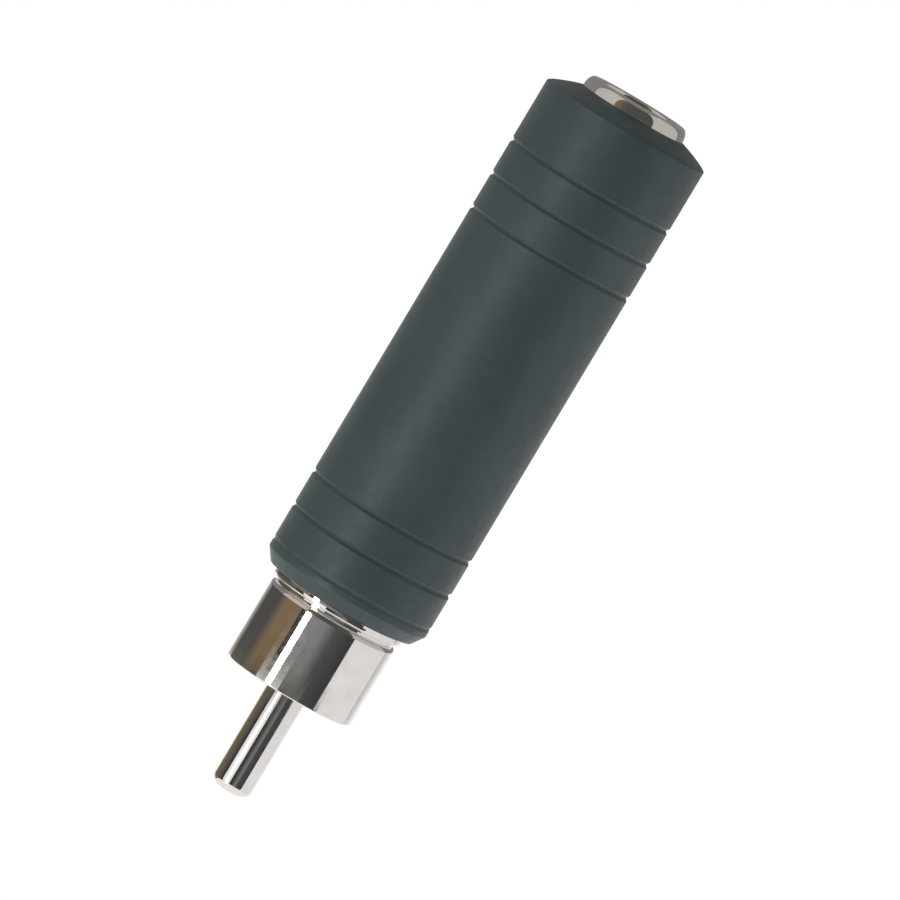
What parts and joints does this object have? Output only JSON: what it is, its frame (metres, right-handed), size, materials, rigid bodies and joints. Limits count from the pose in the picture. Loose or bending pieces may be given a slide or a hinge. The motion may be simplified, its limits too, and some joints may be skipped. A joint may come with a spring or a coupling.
{
  "type": "audio jack adapter",
  "caption": "Straight audio adapter: a black moulded barrel with a 6.35 mm mono jack socket in its nose and a phono plug, with shell and centre pin, at the other end.",
  "frame": {"origin": "centre of the flat lip of the jack nose, on which the adapter stands", "axes": "+Z along the adapter's axis toward the phono pin; +Y toward the contact spring of the jack socket"},
  "size_m": [0.0136, 0.0136, 0.0597],
  "materials": {
    "black_plastic": "moulded, satin, with shallow rings",
    "nickel_plate": "bright plated, turned",
    "insulator_plastic": "moulded, satin",
    "natural_nylon": "moulded, satin",
    "spring_bronze": "rolled strip, satin",
    "tinned_brass": "tinned, satin",
    "bare_brass": "stamped, satin",
    "copper_wire": "drawn wire",
    "solder": "cooled solder",
    "red_jacket": "extruded",
    "black_jacket": "extruded"
  },
  "bodies": {
    "adapter_body": {"barrel": "black_plastic", "nose_bushing": "nickel_plate", "ground_lug": "tinned_brass", "contact_ring": "natural_nylon", "tip_terminal": "tinned_brass", "plug_shell": "nickel_plate", "plug_insulator": "insulator_plastic", "plug_pin": "nickel_plate", "pin_retainer": "bare_brass", "ground_tag": "tinned_brass", "tip_lead_wire": "copper_wire", "tip_lead_jacket": "red_jacket", "ground_lead_wire": "copper_wire", "ground_lead_jacket": "black_jacket", "tip_solder": "solder", "pin_solder": "solder", "lug_solder": "solder", "tag_solder": "solder"},
    "contact_leaf": {"tip_spring": "spring_bronze"}
  },
  "joints": [
    {"name": "tip_spring_flex", "type": "hinge", "parent": "adapter_body", "child": "contact_leaf", "pos_m": [0, 0.00456, 0.00978], "axis": [-1, 0, 0], "range_deg": [0, 4.3], "stiffness_Nm_per_rad": 0.9}
  ]
}
